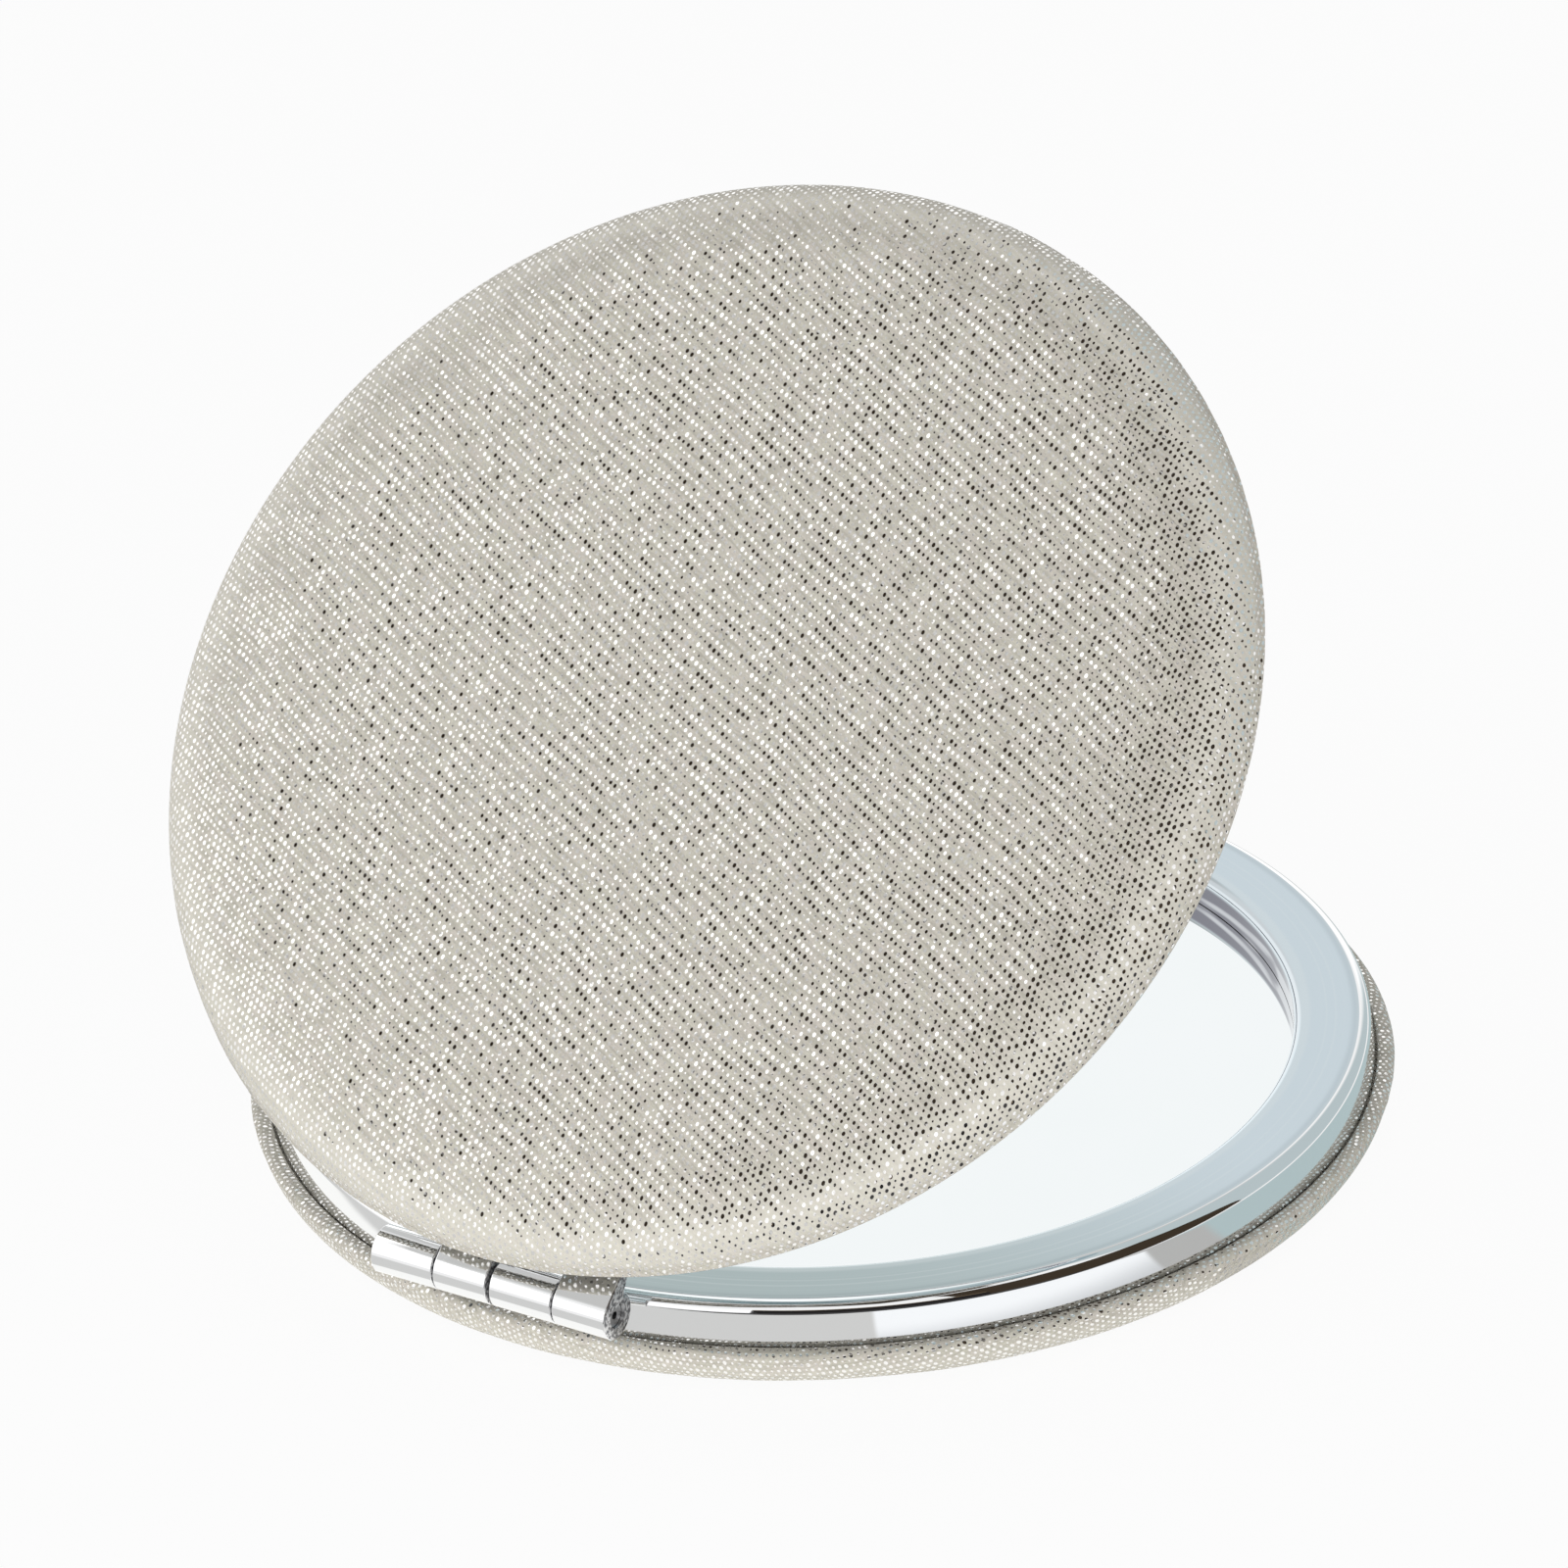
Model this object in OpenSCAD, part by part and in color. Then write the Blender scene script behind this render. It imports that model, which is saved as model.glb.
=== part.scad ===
// Round folding compact mirror: two padded, leather-covered halves in cast chrome frames,
// joined at the rear by a four-knuckle hinge. The lid stands open at open_angle.
// Origin: middle of the base's flat underside. +Z is up, the hinge axis runs along X on
// the +Y side, and the mirror opens towards -Y.

/* [Padded covers] */
// Overall diameter, over the leather
pad_d = 70; // [60:0.5:90]
// Thickness of the leather
leather_t = 0.7; // [0.4:0.05:0.9]
// Thickness of the foam under the leather
foam_t = 1; // [0.8:0.1:2]
// Thickness of the stiff plate that carries the foam, the hem and the mirror
plate_t = 0.5; // [0.4:0.1:1]
// How far inside its edge the padded face starts to round off
face_round_in = 6; // [4:0.5:8]
// Radius of that gentle rounding
face_round = 25; // [20:1:60]
// How far the leather bead stands out past the frame's wall
bead_out = 1.4; // [1.1:0.1:1.5]
// How far the bead's crest stands above the hem
bead_crest = 0.3; // [0.1:0.05:0.5]
// Radius of the bead's upper edge
bead_round = 0.6; // [0.3:0.05:0.8]
// Width of the hem, turned in from the frame's outer face
hem_w = 1.7; // [1.5:0.1:2]

/* [Frames] */
// Thickness of the frame's outer wall
wall_t = 1.2; // [0.8:0.1:1.4]
// Width of the rim, from the outer wall's face to the opening
rim_w = 4.75; // [4.2:0.05:6]
// Thickness of the rim
rim_t = 0.9; // [0.75:0.05:1.4]
// Thickness of the lip that holds the mirror down
lip_t = 0.9; // [0.75:0.05:1.1]
// Radius of the rim's outer edge
rim_round = 0.55; // [0.2:0.05:0.6]
// Radius of the rim's inner edge
lip_round = 0.65; // [0.2:0.05:0.7]
// Gap between the two rims when the mirror is shut
shut_gap = 0.2; // [0.1:0.05:0.4]

/* [Mirrors] */
// Thickness of the base's flat glass
mirror_t = 1.4; // [1.2:0.1:2]
// Depth of the base's glass below the top of the rim
mirror_recess = 2.05; // [1.6:0.05:3]
// Clearance between the glass and the hem
mirror_play = 0.2; // [0.1:0.05:0.4]
// Gap between the lip and the glass
lip_gap = 0.05; // [0.02:0.01:0.1]
// Thickness of the adhesive sheet under the flat glass
tape_t = 0.15; // [0.1:0.05:0.3]
// Thickness of the lid's magnifying glass
magnifier_t = 1; // [0.8:0.05:1]
// Radius to which the magnifying glass is bent
magnifier_bend_r = 1100; // [1000:50:2000]
// Width of the foam ring under the magnifying glass
ring_w = 4; // [2:0.5:8]

/* [Hinge] */
// Angle at which the lid stands open
open_angle = 41; // [0:1:180]
// Outside diameter of the knuckles
barrel_d = 2.9; // [2.5:0.1:3.4]
// Clearance between a knuckle and the other half's wall
barrel_clear = 0.25; // [0.15:0.05:0.5]
// Length of each of the base's two knuckles
base_knuckle_l = 4.25; // [3:0.05:6]
// Length of each of the lid's two knuckles
lid_knuckle_l = 3.65; // [3:0.05:6]
// Gap between the knuckles of each pair
knuckle_gap = 0.12; // [0.05:0.01:0.2]
// Gap between the two pairs
middle_gap = 0.3; // [0.1:0.05:0.5]
// Diameter of the rolled hinge pin
pin_d = 1.4; // [1:0.1:1.8]
// Diameter of the hole through the pin
pin_bore_d = 0.5; // [0.3:0.1:0.8]
// Radial clearance of the pin in the knuckles
pin_play = 0.03; // [0.01:0.01:0.1]
// How far each end of the pin lies inside the outer knuckles
pin_inset = 0.2; // [0:0.05:0.5]

/* [Magnets] */
// Length of each closing magnet
magnet_l = 7; // [5:0.5:8]
// Thickness of the rim that is left over the magnet
magnet_skin = 0.3; // [0.2:0.05:0.5]
// Side clearance of the magnet between the lip and the outer wall
magnet_play = 0.25; // [0.2:0.05:0.4]
// Space left between the magnet and the glass
magnet_lift = 0.35; // [0.2:0.05:0.6]

/* [Hidden] */
$fn = 180;
// Overrun of the cuts
over = 0.1;
// Gap between curved faces that fit into each other
seat_gap = 0.05;
// Extra radius of the padded edge, so that it crosses the faces it runs into instead of just touching them
arc_seam = 0.001;
// Number of steps along the bent glass
bend_steps = 16;

// Radii, from the outside in
pad_r = pad_d / 2;
frame_r = pad_r - bead_out;
wall_in_r = frame_r - wall_t;
hem_in_r = frame_r - hem_w;
mirror_r = hem_in_r - mirror_play;
open_r = frame_r - rim_w;
lip_out_r = open_r + lip_t;
face_flat_r = pad_r - face_round_in;

// Heights of the base, from its underside up
foam_top = leather_t + foam_t;
plate_top = foam_top + plate_t;
hem_top = plate_top + leather_t;
bead_top = hem_top + bead_crest;
bead_wide_z = bead_top - bead_round;
mirror_low = plate_top + tape_t;
mirror_face = mirror_low + mirror_t;
rim_top = mirror_face + mirror_recess;
rim_low = rim_top - rim_t;

// Radius of the padded edge that the gentle rounding runs into without a crease
edge_round = (pow(face_round, 2) - pow(face_round_in, 2) - pow(face_round - bead_wide_z, 2))
    / (2 * (face_round - face_round_in));
// How far out from the edge's centre they meet, as a share of the edge's radius
meet_out_share = (face_round_in - edge_round) / (face_round - edge_round);

// Hinge
barrel_r = barrel_d / 2;
axis_y = frame_r + barrel_clear + barrel_r;
axis_z = rim_top + shut_gap / 2;
pair_l = base_knuckle_l + knuckle_gap + lid_knuckle_l;
hinge_l = 2 * pair_l + middle_gap;
base_knuckle_ends = [hinge_l / 2, -middle_gap / 2];
lid_knuckle_ends = [for (end = base_knuckle_ends) end - base_knuckle_l - knuckle_gap];
// Radius at which the knuckle blocks root in the wall
root_r = frame_r - wall_t / 2;
root_y = sqrt(pow(root_r, 2) - pow(hinge_l / 2, 2));

// Magnets
magnet_w = rim_w - wall_t - lip_t - 2 * magnet_play;
magnet_y = -(lip_out_r + magnet_play + magnet_w / 2);
magnet_top = rim_top - magnet_skin;
magnet_low = mirror_face + magnet_lift;

// Rise of the bent glass at a radius, above its middle
function bend(r) = magnifier_bend_r - sqrt(pow(magnifier_bend_r, 2) - pow(r, 2));
// Lowest point of the bent glass's front face: its edge lies at the height of the flat glass's face
bend_face = mirror_face - bend(mirror_r);
// Points of one face of the bent glass between two radii, lowered by a depth
function bent_face(r1, r2, depth) =
    [for (i = [0:bend_steps]) let (r = r1 + (r2 - r1) * i / bend_steps) [r, bend_face + bend(r) - depth]];

// Carries a piece from the base's place to the lid's, where the two halves are mirror images
module on_lid() {
    translate([0, axis_y, axis_z])
        rotate([-open_angle, 0, 0])
            mirror([0, 0, 1])
                translate([0, -axis_y, -axis_z])
                    children();
}

// What rounding a square corner takes away: the corner is at [x, y], and turn aims the inside
module corner(x, y, r, turn) {
    translate([x, y])
        rotate(turn)
            difference() {
                translate([-over, -over])
                    square(r + over);
                translate([r, r])
                    circle(r);
            }
}

// Half section of the frame ring: rim, outer wall and lip
module frame_section() {
    difference() {
        union() {
            translate([open_r, rim_low])
                square([rim_w, rim_t]);
            translate([wall_in_r, hem_top])
                square([wall_t, rim_top - hem_top]);
            translate([open_r, mirror_face + lip_gap])
                square([lip_t, mirror_recess - lip_gap]);
        }
        corner(frame_r, rim_top, rim_round, 180);
        corner(open_r, rim_top, lip_round, -90);
    }
}

// End view of a knuckle: the barrel and the block that joins it to its own wall
module knuckle_section() {
    circle(barrel_r);
    translate([root_y - axis_y, -barrel_r])
        square([axis_y - root_y, barrel_r - shut_gap / 2]);
}

// The knuckles of one half, each running from its end towards -X
module knuckles(ends, length) {
    difference() {
        for (end = ends)
            translate([end - length, axis_y, axis_z])
                rotate([90, 0, 90])
                    linear_extrude(length)
                        knuckle_section();
        cylinder(r = root_r, h = axis_z + barrel_d);
    }
}

// Cylinder about the hinge axis, centred on the hinge
module about_axis(r, length) {
    translate([-length / 2, axis_y, axis_z])
        rotate([0, 90, 0])
            cylinder(r = r, h = length);
}

// Closing magnet, or the pocket for it when grown by a clearance
module magnet_block(grow) {
    translate([-magnet_l / 2 - grow, magnet_y - magnet_w / 2 - grow, magnet_low])
        cube([magnet_l + 2 * grow, magnet_w + 2 * grow, magnet_top - magnet_low]);
}

// Cast frame of one half, with its knuckles
module frame(ends, length) {
    difference() {
        union() {
            rotate_extrude()
                frame_section();
            knuckles(ends, length);
        }
        about_axis(pin_d / 2 + pin_play, hinge_l + 2 * over);
        magnet_block(seat_gap);
    }
}

// Half section of the padded face and its edge, taken in from the leather's outer face by a depth
module face_section(depth, top) {
    meet_r = pad_r - edge_round + (edge_round - depth) * meet_out_share;
    difference() {
        translate([0, depth])
            square([pad_r - depth, top - depth]);
        difference() {
            translate([face_flat_r, -over])
                square([face_round_in + over, bead_wide_z + over]);
            translate([face_flat_r, face_round])
                circle(face_round - depth);
        }
        difference() {
            translate([meet_r, -over])
                square([pad_r + over - meet_r, bead_wide_z + over]);
            translate([pad_r - edge_round, bead_wide_z])
                circle(edge_round - depth + arc_seam);
        }
    }
}

// Space inside the leather, up to the plate's top and into the bead, less a gap all round
module cavity_section(gap) {
    face_section(leather_t + gap, plate_top);
    intersection() {
        face_section(leather_t + gap, bead_top - leather_t - gap);
        translate([frame_r, 0])
            square([bead_out, bead_top]);
    }
}

// Leather cover: face, bead and the hem turned in over the plate
module leather_section() {
    difference() {
        union() {
            face_section(0, hem_top);
            intersection() {
                face_section(0, bead_top);
                translate([frame_r + seat_gap, 0])
                    square([bead_out, bead_top]);
            }
        }
        corner(pad_r, bead_top, bead_round, 180);
        cavity_section(0);
        translate([0, plate_top - over])
            square([hem_in_r, leather_t + 2 * over]);
    }
}

// Foam: a disc under the plate, turned up round the plate's edge into the bead
module foam_section() {
    difference() {
        cavity_section(seat_gap);
        translate([-over, foam_top])
            square([frame_r + seat_gap + over, bead_top]);
    }
}

// Stiff plate inside the cover
module plate_disc() {
    translate([0, 0, foam_top])
        cylinder(r = frame_r, h = plate_t);
}

module base_frame() {
    color("lightsteelblue")
        frame(base_knuckle_ends, base_knuckle_l);
}

module base_mirror() {
    color("aliceblue")
        translate([0, 0, mirror_low])
            cylinder(r = mirror_r, h = mirror_t);
}

module base_mirror_tape() {
    color("dimgray")
        translate([0, 0, plate_top])
            cylinder(r = mirror_r, h = tape_t);
}

module base_backing_plate() {
    color("gainsboro")
        plate_disc();
}

module base_foam_pad() {
    color("khaki")
        rotate_extrude()
            foam_section();
}

module base_leather_cover() {
    color("tan")
        rotate_extrude()
            leather_section();
}

module base_magnet() {
    color("slategray")
        magnet_block(0);
}

module hinge_pin() {
    color("gray")
        difference() {
            about_axis(pin_d / 2, hinge_l - 2 * pin_inset);
            about_axis(pin_bore_d / 2, hinge_l + 2 * over);
        }
}

module lid_frame() {
    color("lightsteelblue")
        on_lid()
            frame(lid_knuckle_ends, lid_knuckle_l);
}

module lid_magnifying_mirror() {
    back = bent_face(0, mirror_r, magnifier_t);
    front = bent_face(0, mirror_r, 0);
    color("aliceblue")
        on_lid()
            rotate_extrude()
                polygon(concat(back, [for (i = [bend_steps:-1:0]) front[i]]));
}

module lid_mirror_foam_ring() {
    ring_in_r = mirror_r - ring_w;
    seat = bent_face(ring_in_r, mirror_r, magnifier_t);
    color("dimgray")
        on_lid()
            rotate_extrude()
                polygon(concat([[mirror_r, plate_top], [ring_in_r, plate_top]], seat));
}

module lid_backing_plate() {
    color("gainsboro")
        on_lid()
            plate_disc();
}

module lid_foam_pad() {
    color("khaki")
        on_lid()
            rotate_extrude()
                foam_section();
}

module lid_leather_cover() {
    color("tan")
        on_lid()
            rotate_extrude()
                leather_section();
}

module lid_magnet() {
    color("slategray")
        on_lid()
            magnet_block(0);
}

base_frame();
base_mirror();
base_mirror_tape();
base_backing_plate();
base_foam_pad();
base_leather_cover();
base_magnet();
hinge_pin();
lid_frame();
lid_magnifying_mirror();
lid_mirror_foam_ring();
lid_backing_plate();
lid_foam_pad();
lid_leather_cover();
lid_magnet();
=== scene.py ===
import math

import bpy
import numpy as np
from mathutils import Matrix, Vector, kdtree


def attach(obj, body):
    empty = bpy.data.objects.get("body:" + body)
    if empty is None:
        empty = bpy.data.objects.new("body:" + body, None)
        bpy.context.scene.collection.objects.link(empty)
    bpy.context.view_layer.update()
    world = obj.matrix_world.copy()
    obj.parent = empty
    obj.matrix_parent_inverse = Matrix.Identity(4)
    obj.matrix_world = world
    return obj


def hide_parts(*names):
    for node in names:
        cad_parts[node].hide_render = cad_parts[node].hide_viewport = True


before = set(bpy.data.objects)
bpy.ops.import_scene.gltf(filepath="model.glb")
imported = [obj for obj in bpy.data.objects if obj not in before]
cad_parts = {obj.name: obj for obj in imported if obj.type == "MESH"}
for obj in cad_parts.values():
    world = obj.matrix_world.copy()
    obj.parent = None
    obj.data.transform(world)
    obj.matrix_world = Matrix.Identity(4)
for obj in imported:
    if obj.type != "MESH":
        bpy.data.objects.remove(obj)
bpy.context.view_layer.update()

MM = 0.001

# Sizes of the model, in millimetres, as in the part's source
PAD_R = 35.0
LEATHER_T = 0.7
FACE_FLAT_R = 29.0
FACE_ROUND = 25.0
EDGE_ROUND = 2.29579
EDGE_R = PAD_R - EDGE_ROUND
BEAD_WIDE_Z = 2.6
BEAD_ROUND = 0.6
BEAD_TOP = 3.2
FRAME_R = 33.6
WALL_IN_R = 32.4
WALL_TOP_R = 33.55
WALL_FOOT_R = 33.8
WALL_FOOT_Z = 3.1
OPEN_R = 28.85
LIP_OUT_R = 29.75
RIM_TOP = 5.8
RIM_LOW = 4.9
LIP_LOW = 3.8
RIM_ROUND = 0.8
LIP_ROUND = 0.65
SEAT_GAP = 0.05
HEM_TOP = 2.9
HEM_IN_R = 31.9
PLATE_TOP = 2.2
FOAM_TOP = 1.7
HINGE = Vector((0.0, 35.3, 5.9))
BARREL_R = 1.45
BORE_R = 0.73
KNUCKLES = {"base": ((8.17, 4.25), (-0.15, 4.25)), "lid": ((3.8, 3.65), (-4.52, 3.65))}
OPEN_ANGLE = 41.0

# How far below the bead's widest place the lining and the foam end, and the turn of the hem's edge
LINING_TOP = BEAD_WIDE_Z - 0.1
FOAM_EDGE_TOP = BEAD_WIDE_Z - 0.15
HEM_TURN = 0.28

# Leather: the way its grain runs, in degrees
GRAIN_ANGLE = -25.8

# Meshes: radius of the face's grid in millimetres, half the points along one of its sides,
# steps along a rounding, points round a frame, and the angle from which an edge is sharp, in degrees
CORE_R = FACE_FLAT_R * 0.9
FINE_GRID = 45
COARSE_GRID = 18
FOAM_GRID = 12
FINE_STEPS = 8
COARSE_STEPS = 3
RIM_STEPS = 12
RING_POINTS = 480
SHARP_ANGLE = 50
# A length so small that it only keeps a division from failing
TINY = 1e-9

# Inflating the padding: enlargement of the trial, its frames and its pressure
SIM_SCALE = 20.0
SIM_FRAMES = 20
SIM_PRESSURE = 1.2
# How far above the bead's widest place the skin is held, and over what height its movement fades out
HELD_ABOVE = 0.2
FADE = 0.3
# The most that a point may move, and how its movement is evened out between the trial's points
PUFF_MOST = 0.22
NEIGHBOURS = 6
EVEN_OUT = 0.15
# Slight unevenness: height of its waves, and each wave's two slopes and its phase
UNEVEN = 0.012
UNEVEN_WAVES = ((0.31, 0.17, 0.4), (-0.22, 0.36, 1.9), (0.45, -0.08, 3.1), (0.12, 0.52, 5.0),
                (-0.5, -0.3, 2.2))

# Camera, as fitted to the photograph: angles in degrees, distances in millimetres, lens in pixels
CAM_AZIMUTH = 213.435
CAM_ELEVATION = 28.147
CAM_DISTANCE = 593.152
CAM_SHIFT = (-1.521, 6.295)
CAM_AIM_Z = 15.0
CAM_ROLL = -2.732
CAM_PIXELS = 9995.684
IMAGE_SIDE = 1600
SENSOR = 36.0


# Node helpers

def put(tree, kind, values=None, **settings):
    """Adds a node, sets its properties and fills its inputs with numbers or links."""
    node = tree.nodes.new(kind)
    for key, value in settings.items():
        setattr(node, key, value)
    for key, value in (values or {}).items():
        if isinstance(value, bpy.types.NodeSocket):
            tree.links.new(value, node.inputs[key])
        else:
            node.inputs[key].default_value = value
    return node


def calc(tree, operation, *values):
    """One step of arithmetic."""
    return put(tree, "ShaderNodeMath", dict(enumerate(values)), operation=operation).outputs[0]


def vec(tree, operation, *values):
    """One step of vector arithmetic."""
    node = put(tree, "ShaderNodeVectorMath", dict(enumerate(values)), operation=operation)
    numeric = operation in ("LENGTH", "DISTANCE", "DOT_PRODUCT")
    return node.outputs[1 if numeric else 0]


def scaled(tree, vector, factor):
    """A vector times a number."""
    node = put(tree, "ShaderNodeVectorMath", {0: vector, "Scale": factor}, operation="SCALE")
    return node.outputs[0]


def mixed(tree, share, first, second):
    """A blend of two numbers."""
    return put(tree, "ShaderNodeMix", {0: share, 2: first, 3: second}).outputs[0]


def mixed_vector(tree, share, first, second):
    """A blend of two vectors."""
    return put(tree, "ShaderNodeMix", {0: share, 4: first, 5: second}, data_type="VECTOR").outputs[1]


def mixed_colour(tree, share, first, second):
    """A blend of two colours."""
    return put(tree, "ShaderNodeMix", {0: share, 6: first, 7: second}, data_type="RGBA").outputs[2]


def ramp(tree, value, low, high, low_out=0.0, high_out=1.0):
    """A smooth step from one value to another."""
    values = {0: value, 1: low, 2: high, 3: low_out, 4: high_out}
    return put(tree, "ShaderNodeMapRange", values, interpolation_type="SMOOTHSTEP").outputs[0]


def noise(tree, place, scale, detail=2.0):
    """Cloudy noise: returns its value and its colour."""
    values = {"Vector": place, "Scale": scale, "Detail": detail}
    node = put(tree, "ShaderNodeTexNoise", values)
    return node.outputs[0], node.outputs[1]


def centred(tree, colour):
    """A noise colour moved so that its parts lie round nought."""
    return vec(tree, "SUBTRACT", colour, (0.5, 0.5, 0.5))


def spread(tree, colour, most):
    """A vector in the leather's plane from a noise colour, each part within the most either way."""
    return vec(tree, "MULTIPLY", centred(tree, colour), (2 * most, 2 * most, 0.0))


def bumped(tree, height, strength, depth, normal=None):
    """The surface's normal, or a given one, bumped by a height. The depth is in metres."""
    values = {"Strength": strength, "Distance": depth, "Height": height}
    if normal is not None:
        values["Normal"] = normal
    return put(tree, "ShaderNodeBump", values).outputs[0]


def new_material(name):
    """A material with an empty node tree."""
    material = bpy.data.materials.new(name)
    material.use_nodes = True
    material.node_tree.nodes.clear()
    return material, material.node_tree


def surface(tree, values):
    """Ends a material in one Principled shader."""
    shader = put(tree, "ShaderNodeBsdfPrincipled", values)
    put(tree, "ShaderNodeOutputMaterial", {0: shader.outputs[0]})


def place_mm(tree):
    """The point on the piece in the frame's coordinates, in millimetres."""
    return scaled(tree, put(tree, "ShaderNodeTexCoord").outputs["Object"], 1 / MM)


# Leather: matte coat with a cross-grain relief and a print of fine foil dots

# Steps of the dots' lattice along the grain and across it, in millimetres
DOT_STEP = (0.421, 0.827, 1.0)
# A dot's radius and soft edge, and the smallest and largest radius as shares of it
DOT_R = 0.100
DOT_SOFT = 0.02
DOT_SIZES = (0.68, 1.34)
# How far a dot strays from the lattice, and its width and length as shares of a round dot's
DOT_STRAY = 0.035
DOT_WIDE = 0.88
DOT_LONG = 1.2
# Scale and detail of the slow stretch that bends the rows, and how far it moves them
STRETCH_NOISE = (0.07, 1.0)
STRETCH = 0.5
# Waves of the relief's two families of ridges, in turns per millimetre. The dots sit on the ridges' flanks
RIDGE = (0.0, 1 / 0.827, 0.0)
CROSS = (1.27, 0.135, 0.0)
RIDGE_PHASE = 0.5 * math.pi
# How the ridges wander, and how they grow and shrink along their way
WANDER_STRETCH = (0.3, 0.8, 1.0)
WANDER_SCALE = 0.6
WANDER = (1.2, 0.6, 0.0)
GROWTH_SCALE = 0.55
GROWTH_RAMP = (0.25, 0.75, 0.55, 1.3)
# Leans of the ridges, of a dot of its own and of its crumples, as the slope of the surface
RIDGE_TILT = 0.20
CROSS_TILT = 0.045
DOT_TILT = 0.115
FOIL_CRUMPLE = 0.05
CRUMPLE_SCALE = 7.0
# Shift in the lattice from which a dot draws its lean, so that it doesn't go with its size
SECOND_DRAW = (7.3, 2.9, 1.7)
# The coat's share of the relief's lean, and its fine grain: noise, strength, and depth in metres
COAT_LEAN = 0.5
COAT_GRAIN = (6.0, 3.0)
COAT_BUMP = (0.25, 0.00002)
# The coat's clouds, streaks along the grain and dark fibres: stretch, noise, and where they begin and end
CLOUD_NOISE = (0.8, 3.0)
CLOUD_RAMP = (0.35, 0.65)
STREAK_STRETCH = (0.5, 4.5, 1.0)
STREAK_NOISE = (1.0, 3.0)
STREAK_RAMP = (0.3, 0.6)
FIBRE_STRETCH = (1.0, 2.2, 1.0)
FIBRE_NOISE = (5.5, 3.0)
FIBRE_RAMP = (0.38, 0.62, 0.30, 0.0)
# Colours and roughness of the coat and the foil
WARM_FIRST = (0.665, 0.64, 0.55, 1.0)
WARM_SECOND = (0.67, 0.625, 0.56, 1.0)
STREAK = (0.51, 0.485, 0.415, 1.0)
FIBRE = (0.34, 0.32, 0.27, 1.0)
TAUT_AND_LIT = (0.74, 0.715, 0.63, 1.0)
FOIL = (0.90, 0.89, 0.87, 1.0)
COAT_ROUGH = 0.62
FOIL_ROUGH = 0.10
COAT_SHINE = 0.3
# Round the padded edge the coat is paler, partly as smoother leather pulled tight, partly as painted light
# for the light
# that the edge catches: distances along the skin
TAUT_AND_LIT_FROM = (31.5, 33.5)
TAUT_AND_LIT_TO = (35.2, 36.2)
TAUT_AND_LIT_SHARE = 0.55


def dot_distance(tree, flat, centre, luck):
    """Distance to a dot that strays a little from its place and is longer than it is wide."""
    turn = math.radians(GRAIN_ANGLE)
    right = (math.cos(turn), -math.sin(turn), 0.0)
    up = (math.sin(turn), math.cos(turn), 0.0)
    offset = vec(tree, "SUBTRACT", flat, vec(tree, "ADD", centre, spread(tree, luck, DOT_STRAY)))
    across = calc(tree, "DIVIDE", vec(tree, "DOT_PRODUCT", offset, right), DOT_WIDE)
    along = calc(tree, "DIVIDE", vec(tree, "DOT_PRODUCT", offset, up), DOT_LONG)
    return vec(tree, "LENGTH", put(tree, "ShaderNodeCombineXYZ", {0: across, 1: along}).outputs[0])


def dot_lattice(tree, flat):
    """The centre of the nearest dot of a staggered lattice."""
    cell = vec(tree, "DIVIDE", flat, DOT_STEP)
    upright = vec(tree, "FLOOR", vec(tree, "ADD", cell, (0.5, 0.5, 0.5)))
    staggered = vec(tree, "ADD", vec(tree, "FLOOR", cell), (0.5, 0.5, 0.0))
    first = vec(tree, "MULTIPLY", upright, DOT_STEP)
    second = vec(tree, "MULTIPLY", staggered, DOT_STEP)
    first_away = vec(tree, "DISTANCE", flat, first)
    second_away = vec(tree, "DISTANCE", flat, second)
    nearer = calc(tree, "LESS_THAN", second_away, first_away)
    return mixed_vector(tree, nearer, first, second)


def ridge_tilt(tree, place, wave, most, wander):
    """How far the relief leans at a place across one family of ridges."""
    length = math.hypot(*wave)
    turns = tuple(2 * math.pi * part for part in wave)
    lean = tuple(most * part / length for part in wave)
    phase = vec(tree, "DOT_PRODUCT", vec(tree, "ADD", place, wander), turns)
    swing = calc(tree, "SINE", calc(tree, "ADD", phase, RIDGE_PHASE))
    growth = ramp(tree, noise(tree, place, GROWTH_SCALE)[0], *GROWTH_RAMP)
    return scaled(tree, lean, calc(tree, "MULTIPLY", swing, growth))


def relief_tilt(tree, place):
    """Lean of the cross-grain relief at a place."""
    cloud = noise(tree, vec(tree, "MULTIPLY", place, WANDER_STRETCH), WANDER_SCALE)[1]
    wander = vec(tree, "MULTIPLY", centred(tree, cloud), WANDER)
    ridges = ridge_tilt(tree, place, RIDGE, RIDGE_TILT, wander)
    crosses = ridge_tilt(tree, place, CROSS, CROSS_TILT, wander)
    return vec(tree, "ADD", ridges, crosses)


def tilted_normal(tree, tilt):
    """The surface normal, leant over by a tilt in the leather's own plane."""
    colour = vec(tree, "ADD", scaled(tree, tilt, 0.5), (0.5, 0.5, 1.0))
    values = {"Color": colour}
    return put(tree, "ShaderNodeNormalMap", values, space="TANGENT", uv_map="leather").outputs[0]


def foil_dots(tree, flat, centre):
    """Where the dots are, from 0 to 1."""
    luck = put(tree, "ShaderNodeTexWhiteNoise", {"Vector": centre}, noise_dimensions="3D")
    smallest, largest = (DOT_R * share for share in DOT_SIZES)
    radius = ramp(tree, luck.outputs[0], 0.0, 1.0, smallest, largest)
    edge = calc(tree, "SUBTRACT", radius, dot_distance(tree, flat, centre, luck.outputs[1]))
    return ramp(tree, edge, -DOT_SOFT, DOT_SOFT)


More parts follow.
